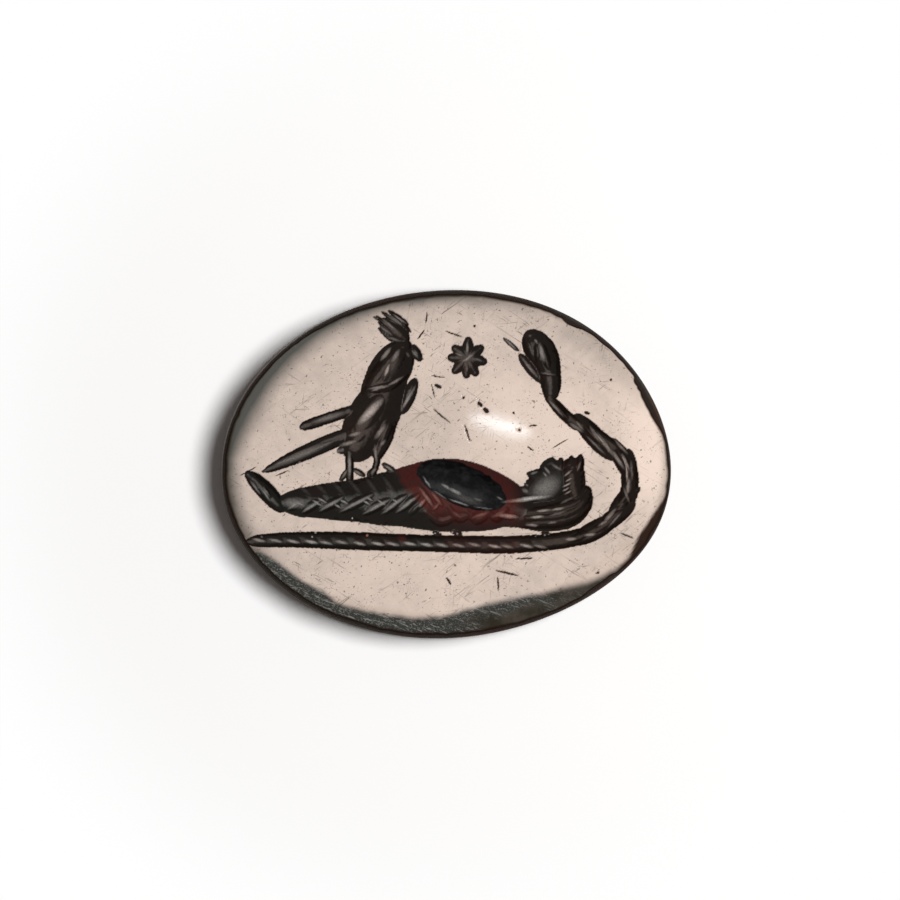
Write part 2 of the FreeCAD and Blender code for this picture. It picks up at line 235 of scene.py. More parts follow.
# Small bright nicks that show no depth, and the one that is orange.
NICKS = (
    (-94, -53, -92.5, -54.5, 1.8, 0.8), (-134, -71.5, -132.5, -73, 1.8, 0.7),
    (-131, -67, -129, -69, 2, 0.7), (-185, -71, -182, -73, 3, 0.25), (-147, 3, -144, 0, 4, 0.3),
    (92, -69, 94, -70, 2, 0.5), (97, -70, 99, -71, 2, 0.5), (101, -69, 103, -70, 1.6, 0.4),
    (88, -71, 90, -72, 1.5, 0.4), (-12, -68, -10, -69, 1.8, 0.5), (-7, -67, -6, -69, 1.5, 0.4),
    (5, -67, 7, -68, 2, 0.5), (10, -68, 12, -70, 1.8, 0.5),
)
EMBER = (-79.5, -69.5, -77.5, -71.5, 2.6, 0.8)

# A red spot on the serpent.
RED_SPOT = (-50, -69, -38, -77, 10, 1)

# The head in profile, in shares of the way from chin to hairline: along the face, and out from it.
HEAD_CHIN = (71, -25)
HEAD_TURN = 44
HEAD_LENGTH = 46
PROFILE_SHARES = (
    (-0.06, -0.24), (-0.02, -0.08), (0.05, 0.01), (0.11, 0.0), (0.155, -0.035), (0.195, 0.02), (0.23, -0.01),
    (0.265, 0.03), (0.33, 0.005), (0.37, 0.12), (0.41, 0.13), (0.52, 0.075), (0.65, 0.01), (0.7, 0.035),
    (0.8, 0.055), (0.92, 0.04), (1.04, -0.02), (1.08, -0.35), (0.9, -0.75), (0.4, -0.8), (0.1, -0.5),
)

# Cheek, brow, closed eye, nostril and mouth of the head, then the painted highlights on them.
HEAD_STROKE_SHARES = (
    (-0.1, -0.42, 1.05, -0.38, 38, 4), (0.72, -0.02, 0.7, -0.26, 3, 1.2),
    (0.6, -0.08, 0.6, -0.24, 3, 1.2), (0.38, 0.02, 0.46, -0.06, 3, 1), (0.235, 0.0, 0.25, -0.14, 2, 0.9),
)
HEAD_SHINE_SHARES = (
    (0.06, -0.34, 0.88, -0.46, 24, 0.26), (0.76, -0.03, 0.73, -0.27, 2.6, 0.4),
    (0.65, -0.1, 0.65, -0.26, 2.2, 0.35), (0.41, 0.05, 0.6, -0.03, 3, 0.3),
    (0.2, -0.02, 0.22, -0.12, 2, 0.3), (0.07, -0.05, 0.13, -0.22, 5, 0.25),
    (0.9, -0.08, 0.98, -0.4, 3.5, 0.25),
)

# Chips of the rim: where each starts and ends in degrees, and how deep it goes in millimetres.
RIM_CHIPS = (
    (10, 28, 0.25), (26, 31, 0.16), (52, 58.5, 0.11), (-52, -40, 0.1),
)

# The upper edge of the worn shoulder, in steps.
SHOULDER_SHORE = (
    (-230, -70), (-192, -84), (-178, -90), (-158, -104), (-135, -120), (-109, -136), (-90, -142),
    (-63, -147), (-31, -153), (-5, -151), (15, -146), (28, -144), (41, -138), (61, -133), (93, -128),
    (126, -121), (146, -114), (170, -104), (182, -93), (191, -72), (205, -51), (218, -32),
)

# The way that the level floors of the hollows lean where they take the painted highlight; walls leaning away
# take painted shade.
GLINT_SIDE = (0.1, 0.05, 1.0)

# How far the edges of the cuts wander, in steps.
RAGGED = 0.3

# How many cells the face has along and across, and how many parts a cell in a figure is cut into each way.
CELLS_ALONG = 170
CELLS_ACROSS = 132
CELL_PARTS = 3

# Sets of scratches: angle in degrees, fineness across and along, seed, and the noise above which they show.
SCRATCHES = (
    (38, 9.0, 0.6, 1.3, 0.625), (-32, 8.0, 0.45, 4.7, 0.635), (80, 10.0, 0.8, 7.9, 0.645),
    (6, 9.0, 0.7, 2.1, 0.66),
)

# Colours of the finer marks and of the painted light and shade, with pairs where one runs into the other: on
# the polish, in the hollows, on the worn shoulder, in the nicks, and on the side.
GRIT = (0.42, 0.37, 0.34)
# painted shade at the edge of the face, also the colour of the smudge
SHADED_EDGE_AND_SMUDGE = (0.05, 0.049, 0.04)
SCRATCH = (0.1, 0.075, 0.055)
CLOUD = (0.036, 0.012, 0.009)
# painted shade in the deep belly bowl, nearly black with dark grey clouds
BOWL_SHADE = ((0.004, 0.004, 0.005), (0.016, 0.017, 0.017))
# painted shade on the steep walls of the hollows
SLOPE_SHADE = (0.006, 0.004, 0.003)
# painted highlights along the floors of the hollows, cool and warm, and one for the red patch
GLINTS = ((0.62, 0.6, 0.57), (0.6, 0.5, 0.45))
RED_GLINT = (0.42, 0.23, 0.19)
SCUFFS = ((0.038, 0.039, 0.034), (0.28, 0.27, 0.255))
BARE_SHOULDER = ((0.026, 0.022, 0.015), (0.06, 0.05, 0.04))
RUSSET = (0.026, 0.014, 0.01)
SPARKS = ((0.62, 0.58, 0.54), (0.5, 0.16, 0.08))
# painted light on the lower side: paler green and brown stone
PAINTED_LIGHT_SIDE = ((0.05, 0.052, 0.042), (0.06, 0.036, 0.026))
SIDE_RED = (0.085, 0.018, 0.014)
SIDE_GRAIN = (0.045, 0.032, 0.025)
# painted highlight on the girdle
GIRDLE_HIGHLIGHT = (0.4, 0.38, 0.36)

# The large lamp, and the small ones whose mirror image is the bright oval: name, place in metres, length,
# width, and share of their power.
PANEL_PLACE = (0.1004, 0.0213, 0.2819)
PANEL_SIZE = 0.106
SMALL_LAMPS = (
    ("strip_lamp", (0.0158, 0.0108, 0.25), 0.02, 0.0062, 1.0),
    ("core_lamp", (0.016, 0.011, 0.247), 0.0165, 0.0026, 0.8),
)
SMALL_LAMP_TURN = -16
SMALL_LAMP_COLOUR = (0.85, 0.95, 1.0)


def faint_bands(width, depth):
    """Soft bands over the upper side of the wrapped legs."""
    return [(x, -17 + 0.09 * (x + 150), x + 17, -33, width, depth) for x in range(-150, -50, 17)]


def bandage_strokes():
    """Broad bands along the wrapped legs, with thin ones that cross them."""
    broad = [(*row, 10, 2) for row in BROAD_BANDS]
    return broad + [(*row, 4, 0.8) for row in THIN_BANDS] + faint_bands(9, 0.5)


def rope_strokes(width, depth):
    """Leaning strands of the serpent's straight run."""
    rows = []
    for k, (a, b) in enumerate(np.random.RandomState(5).uniform(-1, 1, (18, 2))):
        x = -185 + 16.5 * k + 2 * a
        y = -80 - 0.02 * x + 0.8 * b
        rows.append((x - 8, y + 1.7, x + 8, y - 1.7, width, depth * (1 + 0.3 * a)))
    return rows


def cloth_strokes():
    """Short slanting strands at the front of the headcloth."""
    return [(114, -6 * k - 4, 137, 10 - 6 * k, 8, 1) for k in range(7)]


def star_rays():
    """Eight rays, each widest past its middle."""
    x, y = STAR_MIDDLE
    return [((x, y, 10, 3.5), ((x + a) / 2, (y + b) / 2, 13, 4), (a, b, 8, 2.4)) for a, b in STAR_TIPS]


def head_place(along, out):
    """A place in the picture of the head, in steps."""
    turn = math.radians(HEAD_TURN)
    x, y = HEAD_CHIN
    a, b = along * HEAD_LENGTH, out * HEAD_LENGTH
    return x + a * math.cos(turn) - b * math.sin(turn), y + a * math.sin(turn) + b * math.cos(turn)


def head_rows(shares):
    """Lenses in the head, from their places in shares of its length."""
    return [(*head_place(*row[:2]), *head_place(*row[2:4]), *row[4:]) for row in shares]


class StoneSizes(bpy.types.PropertyGroup):
    """Sizes of the stone."""

    length: FloatProperty(
        name="Length", description="Longest size", default=HIGH[0] - LOW[0], min=MM, unit="LENGTH")
    width: FloatProperty(
        name="Width", description="Size across the stone", default=HIGH[1] - LOW[1], min=MM, unit="LENGTH")
    thickness: FloatProperty(
        name="Thickness", description="Height above the back", default=HIGH[2] - LOW[2], unit="LENGTH")
    girdle_height: FloatProperty(
        name="Girdle height", description="Height of the widest line", default=1.2 * MM, unit="LENGTH")
    back_inset: FloatProperty(
        name="Back inset", description="How far the bevel draws the back in", default=0.7 * MM, unit="LENGTH")
    face_inset: FloatProperty(
        name="Face inset", description="How far the side leans in", default=0.24 * MM, unit="LENGTH")
    edge_round: FloatProperty(
        name="Edge rounding", description="Wear on the edges", default=0.06 * MM, unit="LENGTH")
    dome_radius: FloatProperty(
        name="Dome radius", description="Radius of the face's dome", default=100 * MM, unit="LENGTH")
    shoulder_radius: FloatProperty(
        name="Shoulder radius", description="Radius of the worn shoulder", default=36 * MM, unit="LENGTH")
    shoulder_reach: FloatProperty(
        name="Shoulder reach", description="Where the worn shoulder starts", default=13.1 * MM, unit="LENGTH")
    shoulder_x: FloatProperty(
        name="Shoulder x", description="Middle of the shoulder's sweep", default=-0.6 * MM, unit="LENGTH")
    shoulder_y: FloatProperty(
        name="Shoulder y", description="Middle of the shoulder's sweep", default=6.5 * MM, unit="LENGTH")


class StoneColours(bpy.types.PropertyGroup):
    """Colours of the stone and the floor."""

    # The pale polish colour is a painted reflection of the light above; the stone itself is dark.
    polish_reflection: FloatVectorProperty(
        name="Polish", description="Polished face", subtype="COLOR", default=(0.645, 0.522, 0.444), max=1)
    body: FloatVectorProperty(
        name="Body", description="Brown of hollows", subtype="COLOR", default=(0.026, 0.016, 0.011), max=1)
    green: FloatVectorProperty(
        name="Green", description="Green of hollows", subtype="COLOR", default=(0.018, 0.019, 0.016), max=1)
    red: FloatVectorProperty(
        name="Red", description="Patch of red jasper", subtype="COLOR", default=(0.06, 0.01, 0.008), max=1)
    rim: FloatVectorProperty(
        name="Rim", description="Brown of the side", subtype="COLOR", default=(0.016, 0.008, 0.005), max=1)
    floor: FloatVectorProperty(
        name="Floor", description="Studio floor", subtype="COLOR", default=(0.96, 0.96, 0.96), max=1)


class Studio(bpy.types.PropertyGroup):
    """Camera and lamps."""

    frame_width: FloatProperty(
        name="Frame width", description="Width of the view at the girdle", default=40.04 * MM, unit="LENGTH")
    lens: FloatProperty(
        name="Lens", description="Focal length in millimetres", default=300, unit="CAMERA")
    look_x: FloatProperty(
        name="Look x", description="Middle of the picture", default=0.169 * MM, unit="LENGTH")
    look_y: FloatProperty(
        name="Look y", description="Middle of the picture", default=0.632 * MM, unit="LENGTH")
    sky: FloatProperty(
        name="Sky", description="Strength of the even light", default=0.1, min=0, max=1, subtype="FACTOR")
    key: FloatProperty(
        name="Key", description="Power of the side panel in watts", default=0.906, min=0, subtype="POWER")
    lamp: FloatProperty(
        name="Lamp", description="Power of a small lamp in watts", default=0.0014, min=0, subtype="POWER")


def swell(turn):
    """Radius of the outline over that of its ellipse."""
    total = np.ones_like(turn)
    for wave, cosine_share, sine_share in OUTLINE_WAVE_SHARES:
        total += cosine_share * np.cos(wave * turn) + sine_share * np.sin(wave * turn)
    return total


def outline_fit():
    """Middle and half size of the unit outline, so that it can be centred and brought to size."""
    turn = np.linspace(0, 2 * math.pi, 2000)
    x = swell(turn) * np.cos(turn)
    y = swell(turn) * np.sin(turn)
    return (x.max() + x.min()) / 2, (x.max() - x.min()) / 2, (y.max() + y.min()) / 2, (y.max() - y.min()) / 2


def chipped(unit_x, unit_y):
    """How far chips and wear draw the edge of the face in."""
    turn = np.degrees(np.arctan2(unit_y, unit_x))
    inset = 0.03 * MM * lattice_noise(12 * np.cos(np.radians(turn)), 12 * np.sin(np.radians(turn)), 0.5, 5)
    for first, last, depth in RIM_CHIPS:
        share = np.clip((turn - first) / (last - first), 0, 1)
        inset += depth * MM * np.sin(math.pi * share**1.5) ** 0.6
    return inset


def plan(sizes, unit_x, unit_y, inset):
    """Places in the stone's plan from places in a unit disc, with the edge drawn in by an inset."""
    mid_x, half_x, mid_y, half_y = outline_fit()
    turn = np.arctan2(unit_y, unit_x)
    share = np.hypot(unit_x, unit_y)
    grow = 1 + (swell(turn) - 1) * share**2
    x = (unit_x * grow - mid_x * share**2) / half_x * (sizes.length / 2 - inset)
    y = (unit_y * grow - mid_y * share**2) / half_y * (sizes.width / 2 - inset)
    return x, y


def dome(sizes, x, y):
    """Height of the domed face."""
    return sizes.thickness - sizes.dome_radius + np.sqrt(sizes.dome_radius**2 - x**2 - y**2)


def shoulder(sizes, x, y):
    """Height of the worn shoulder's ball."""
    share = 1 - sizes.shoulder_radius / sizes.dome_radius
    middle_x = sizes.shoulder_x * share
    middle_y = sizes.shoulder_y * share
    foot_y = sizes.shoulder_y - sizes.shoulder_reach
    fall = math.hypot(sizes.shoulder_x - middle_x, foot_y - middle_y)
    foot = float(dome(sizes, sizes.shoulder_x, foot_y))
    top = foot - math.sqrt(sizes.shoulder_radius**2 - fall**2)
    return top + np.sqrt(sizes.shoulder_radius**2 - (x - middle_x) ** 2 - (y - middle_y) ** 2)


def lens_drop(x, y, rows, ends=1.0):
    """How deep a group of wheel cuts is at each place, all in steps."""
    drop = np.zeros_like(x)
    for x0, y0, x1, y1, width, depth in rows:
        run = math.hypot(x1 - x0, y1 - y0)
        near = np.hypot(x - (x0 + x1) / 2, y - (y0 + y1) / 2) < run / 2 + width
        along = ((x[near] - x0) * (x1 - x0) + (y[near] - y0) * (y1 - y0)) / run - run / 2
        aside = ((y[near] - y0) * (x1 - x0) - (x[near] - x0) * (y1 - y0)) / run
        fall = np.maximum(1 - (along / (run / 2)) ** 2 - (aside / (width / 2)) ** 2, 0)
        drop[near] = np.maximum(drop[near], depth * fall**ends)
    return drop


def smooth_nodes(nodes, parts=8):
    """A ribbon's nodes with more between them, on a smooth curve."""
    nodes = np.array(nodes, float)
    padded = np.vstack([2 * nodes[0] - nodes[1], nodes, 2 * nodes[-1] - nodes[-2]])
    rows = []
    for a, b, c, d in zip(padded, padded[1:], padded[2:], padded[3:]):
        for t in np.arange(parts) / parts:
            rows.append(b + 0.5 * t * (c - a + t * (2 * a - 5 * b + 4 * c - d + t * (3 * (b - c) + d - a))))
    return np.array(rows + [nodes[-1]])


def near_box(x, y, places, margin=0):
    """Which points lie in the box round some places."""
    low, high = places.min(0) - margin, places.max(0) + margin
    return (x > low[0]) & (x < high[0]) & (y > low[1]) & (y < high[1])


def from_segment(px, py, ax, ay, bx, by):
    """How far along a segment each point's foot is, as a share, and how far off the point is."""
    share = np.clip(((px - ax) * (bx - ax) + (py - ay) * (by - ay)) / ((bx - ax) ** 2 + (by - ay) ** 2), 0, 1)
    return share, np.hypot(px - ax - share * (bx - ax), py - ay - share * (by - ay))


def ribbon_drop(x, y, ribbons, flat=2):
    """How deep a group of ribbons is at each place, all in steps."""
    drop = np.zeros_like(x)
    for nodes in ribbons:
        curve = smooth_nodes(nodes)
        near = near_box(x, y, curve, curve[:, 2].max() / 2)
        px, py = x[near], y[near]
        best = np.ones_like(px)
        deep = np.zeros_like(px)
        for (ax, ay, aw, ad), (bx, by, bw, bd) in zip(curve, curve[1:]):
            share, off = from_segment(px, py, ax, ay, bx, by)
            away = off / ((aw + share * (bw - aw)) / 2)
            closer = away < best
            best[closer] = away[closer]
            deep[closer] = (ad + share * (bd - ad))[closer]
        drop[near] = np.maximum(drop[near], deep * (1 - best**flat))
    return drop


def pool_drop(x, y, outline, slope, depth):
    """How deep a pool with a shore of any outline is at each place, all in steps."""
    outline = np.array(outline)
    near = near_box(x, y, outline)
    px, py = x[near], y[near]
    shore = np.full_like(px, np.inf)
    inside = np.zeros(px.shape, bool)
    for (ax, ay), (bx, by) in zip(outline, np.roll(outline, -1, 0)):
        shore = np.minimum(shore, from_segment(px, py, ax, ay, bx, by)[1])
        if ay != by:
            inside ^= ((ay > py) != (by > py)) & (px < ax + (py - ay) * (bx - ax) / (by - ay))
    drop = np.zeros_like(x)
    drop[near] = np.where(inside, depth * (1 - (1 - np.minimum(shore / slope, 1)) ** 2), 0)
    return drop


def lattice_noise(x, y, size, seed):
    """Smooth seeded noise from -1 to 1 with features of one size."""
    table = np.random.RandomState(seed).uniform(-1, 1, (256, 256))
    column = np.floor(x / size).astype(int)
    row = np.floor(y / size).astype(int)
    part_x = x / size - column
    part_y = y / size - row
    part_x = part_x**2 * (3 - 2 * part_x)
    part_y = part_y**2 * (3 - 2 * part_y)
    first, second = column % 256, (column + 1) % 256
    low, high = (
        table[first, k % 256] * (1 - part_x) + table[second, k % 256] * part_x for k in (row, row + 1)
    )
    return low * (1 - part_y) + high * part_y


def face_relief(sizes, x, y):
    """Height of the engraved face, and the depth, glint, warmth, bowl and shine at each of its points; glint
    and shine are strengths of painted highlights.
    """
    step = sizes.length / STEPS_ALONG
    sx = x / step + RAGGED * lattice_noise(x, y, 0.11 * MM, 3)
    sy = y / step + RAGGED * lattice_noise(x, y, 0.11 * MM, 4)

    def lens(*rows, ends=1.0):
        return lens_drop(sx, sy, rows, ends)

    def ribbon(*ribbons, flat=2):
        return ribbon_drop(sx, sy, ribbons, flat)

    head = pool_drop(sx, sy, [head_place(*share) for share in PROFILE_SHARES], 6, 3.5)
    serpent = np.maximum(ribbon(SERPENT, flat=3), lens(*TURNS))
    strands = lens(*rope_strokes(11, 0.8), *SERPENT_STROKES)
    groups = (
        # hollow, strokes sunk in it, glint (strength of its painted highlight), warmth
        (ribbon(FEET, SHROUD), lens(*MUMMY_STROKES, *bandage_strokes()), 0.42, 0.15),
        (ribbon(NECK), 0, 0.3, 0.3),
        (head, lens(*head_rows(HEAD_STROKE_SHARES)), 0.14, 0.2),
        (np.maximum(ribbon(CLOTH_FRONT), lens(*CLOTH_PEAKS)), lens(*cloth_strokes()), 0.2, 1.0),
        (ribbon(CLOTH_BACK), ribbon(*CLOTH_STRANDS), 0.15, 0.9),
        (ribbon(*BIRD_RIBBONS), np.maximum(lens(*BIRD_STROKES), ribbon(BAND)), 0.33, 0.9),
        (ribbon(*TAIL_RIBBONS, flat=3), lens(*TAIL_STROKES), 0.42, 0.6),
        (lens(*BIRD_LENSES), 0, 0.7, 0.6),
        (ribbon(*star_rays()), 0, 0.36, 0.7),
        (serpent, strands, 0.2, 0.4 + np.clip(sx / 200, 0, 0.55)),
        (ribbon(HOOD), lens(*SERPENT_STROKES), 0.4, 0.6),
        (lens(*SERPENT_LENSES), 0, 0.6, 0.6),
        (lens(*FLAWS), 0, 0.0, 0.8),
    )
    drop = np.zeros_like(x)
    glint = np.zeros_like(x)
    warmth = np.zeros_like(x)
    for hollow, strokes, bright, warm in groups:
        whole = hollow + np.where(hollow > 0, strokes, 0)
        deeper = whole > drop
        drop = np.where(deeper, whole, drop)
        glint = np.where(deeper, bright, glint)
        warmth = np.where(deeper, warm, warmth)
    uneven = 1.1 * lattice_noise(x, y, 0.24 * MM, 6)
    bowl = lens_drop(sx + uneven, sy + 0.7 * uneven, (BELLY_BOWL,), 0.65)
    folds = np.where(drop > 2, ribbon(*FOLDS), 0) + lens(*NECK_STROKES)
    drop += bowl + np.where(bowl > 0, 0, folds)
    glint = np.where(bowl > 0, 0.3, glint)
    warmth = np.where(bowl > 0, 0, warmth)
    cheek = head_rows(HEAD_SHINE_SHARES)
    shine = lens(*SHINES, *rope_strokes(3.6, 0.55), *faint_bands(5, 0.05), *cheek, ends=1.4)
    bands = lens(*[(*row, 3.8, 0.4) for row in BROAD_BANDS], *[(*row, 2.2, 0.5) for row in THIN_BANDS])
    shine = np.maximum(shine, bands) * (drop > 0)
    drop *= step
    ground = np.minimum(dome(sizes, x, y), shoulder(sizes, x, y))
    return ground - drop, {"drop": drop, "glint": glint, "warmth": warmth, "bowl": bowl > 0, "shine": shine}


def disc_lattice(columns, rows):
    """Places in a unit disc from a square lattice that is bent to fill it."""
    u, v = np.meshgrid(np.linspace(-1, 1, columns), np.linspace(-1, 1, rows), indexing="ij")
    return u * np.sqrt(1 - v**2 / 2), v * np.sqrt(1 - u**2 / 2)


def rough_cells(drop, parts):
    """Which coarse cells need fine ones: those that a hollow reaches."""
    rough = drop > 0
    cells = np.zeros(((drop.shape[0] - 1) // parts, (drop.shape[1] - 1) // parts), bool)
    for i in range(parts + 1):
        for j in range(parts + 1):
            cells |= rough[i : i + cells.shape[0] * parts : parts, j : j + cells.shape[1] * parts : parts]
    return cells


def face_polygons(cells, parts):
    """Polygons of the face over lattice points: fine squares in rough cells, and wide ones that meet them."""
    across = cells.shape[1] * parts + 1

    def point(i, j):
        return i * across + j

    polygons = []
    fine = np.argwhere(cells)
    for i in range(parts):
        for j in range(parts):
            a = point(fine[:, 0] * parts + i, fine[:, 1] * parts + j)
            polygons += np.stack([a, a + across, a + across + 1, a + 1], 1).tolist()
    padded = np.pad(cells, 1)
    for i, j in np.argwhere(~cells):
        x, y = i * parts, j * parts
        ring = []
        sides = (
            (padded[i + 1, j], [(x + k, y) for k in range(parts)]),
            (padded[i + 2, j + 1], [(x + parts, y + k) for k in range(parts)]),
            (padded[i + 1, j + 2], [(x + parts - k, y + parts) for k in range(parts)]),
            (padded[i, j + 1], [(x, y + parts - k) for k in range(parts)]),
        )
        for shared, points in sides:
            ring += [point(*p) for p in (points if shared else points[:1])]
        polygons.append(ring)
    return polygons


def edge_ring(cells, parts):
    """Lattice points round the border of the face, in order and turning left."""
    columns, rows = cells.shape
    across = rows * parts + 1
    sides = (
        # cells along the side, first point, step between points, whether it runs back
        (cells[:, 0], 0, across, False),
        (cells[-1], columns * parts * across, 1, False),
        (cells[:, -1], rows * parts, across, True),
        (cells[0], 0, 1, True),
    )
    ring = []
    for fine, first, stride, back in sides:
        count = len(fine) * parts
        for k in range(count, 0, -1) if back else range(count):
            if k % parts == 0 or fine[(k - back) // parts]:
                ring.append(first + k * stride)
    return ring


def side_profile(sizes, edge_height, edge_inset):
    """Insets and heights down the side, round the girdle and the bevel, and in over the back."""
    soft = sizes.edge_round
    levels = []
    for turn in (30, 60, 90):
        angle = math.radians(turn)
        levels.append((edge_inset - soft * math.sin(angle), edge_height - soft * (1 - math.cos(angle))))
    start = edge_height - soft
    for share in (0.15, 0.35, 0.6, 0.85, 0.97):
        levels.append(((edge_inset - soft) * (1 - share), start + (sizes.girdle_height - start) * share))
    for share in (0.0, 0.05, 0.3, 0.6, 0.92, 1.0):
        levels.append((sizes.back_inset * share, sizes.girdle_height * (1 - share)))
    return levels


def gem_mesh(sizes):
    """The stone as one closed mesh, with what its hollows give its points."""
    unit_x, unit_y = disc_lattice(CELLS_ALONG * CELL_PARTS + 1, CELLS_ACROSS * CELL_PARTS + 1)
    soft = sizes.edge_round
    trial_x, trial_y = plan(sizes, unit_x, unit_y, sizes.face_inset)
    trial = np.minimum(dome(sizes, trial_x, trial_y), shoulder(sizes, trial_x, trial_y))
    lean = sizes.face_inset * (trial - sizes.girdle_height) / (sizes.thickness - sizes.girdle_height)
    # the side is steeper at the right
    lean = lean * (1 - 0.4 * np.clip(unit_x, 0, 1) ** 4) + chipped(unit_x, unit_y)
    x, y = plan(sizes, unit_x, unit_y, lean + soft)
    height, relief = face_relief(sizes, x, y)
    cells = rough_cells(relief["drop"], CELL_PARTS)
    polygons = face_polygons(cells, CELL_PARTS)
    ring = edge_ring(cells, CELL_PARTS)
    used = np.unique(np.concatenate([np.array(p) for p in polygons]))
    order = np.full(height.size, -1)
    order[used] = np.arange(len(used))
    points = [np.stack([x.ravel()[used], y.ravel()[used], height.ravel()[used]], 1)]
    faces = [[order[k] for k in p] for p in polygons]
    ring_x, ring_y = unit_x.ravel()[ring], unit_y.ravel()[ring]
    profile = side_profile(sizes, height.ravel()[ring], lean.ravel()[ring] + soft)
    rings = [(1, *level) for level in profile]
    rings += [(share, sizes.back_inset, 0) for share in (0.97, 0.8, 0.5, 0.2)]
    count = len(used)
    above = order[ring]
    for share, inset, level in rings:
        px, py = plan(sizes, ring_x * share, ring_y * share, inset)
        points.append(np.stack([px, py, np.broadcast_to(level, px.shape)], 1))
        below = np.arange(count, count + len(ring))
        faces += np.stack([above, np.roll(above, -1), np.roll(below, -1), below], 1)[:, ::-1].tolist()
        above = below
        count += len(ring)
    points.append(np.zeros((1, 3)))
    faces += np.stack([above, np.roll(above, -1), np.full(len(ring), count)], 1)[:, ::-1].tolist()
    mesh = bpy.data.meshes.new("gem_stone")
    mesh.from_pydata(np.concatenate(points).tolist(), [], faces)
    mesh.validate()
    mesh.shade_smooth()
    unwrap(mesh, len(polygons), len(profile), len(ring))
    rest = len(mesh.vertices) - len(used)
    relief = {name: np.pad(values.ravel()[used], (0, rest)) for name, values in relief.items()}
    return mesh, relief, len(used), order[ring]


def pulled(items, name, width=1):
    """A mesh's numbers: whole ones, or places when there are three for each item."""
    values = np.empty(len(items) * width, float if width > 1 else int)
    items.foreach_get(name, values)
    return values.reshape(-1, width).squeeze()


def unwrap(mesh, face_count, levels, around):
    """Lay the face over most of the map, the side as a strip above it, and the back in what is left."""
    margin = 0.005
    strip_place, strip_height = 0.785, 0.035
    back_place, back_size = 0.83, 0.21
    corners = pulled(mesh.loops, "vertex_index")
    plane = pulled(mesh.vertices, "co", 3)[corners, :2]
    plane = (plane - plane.min(0)) / (plane[:, 0].max() - plane[:, 0].min())
    whole = 1 - 2 * margin
    places = margin + whole * plane
    first = pulled(mesh.polygons, "loop_total")[:face_count].sum()
    last = first + 4 * levels * around
    k = np.tile(np.arange(around), levels)
    j = np.repeat(np.arange(levels), around)
    strip_x = np.stack([k, k + 1, k + 1, k], 1).ravel() / around
    strip_y = np.stack([j + 1, j + 1, j, j], 1).ravel() / levels
    places[first:last] = (margin, strip_place) + (whole, strip_height) * np.stack([strip_x, strip_y], 1)
    places[last:] = (margin, back_place) + back_size * plane[last:]
    mesh.uv_layers.new(name="OFBake").data.foreach_set("uv", places.ravel())


def rise(values, low, high):
    """Rise smoothly from 0 at low to 1 at high."""
    share = np.clip((values - low) / (high - low), 0, 1)
    return share**2 * (3 - 2 * share)


def facing(cosines, most, least):
    """Rise from 0 where a surface leans by the most degrees to 1 where it leans by the least."""
    return rise(cosines, math.cos(math.radians(most)), math.cos(math.radians(least)))


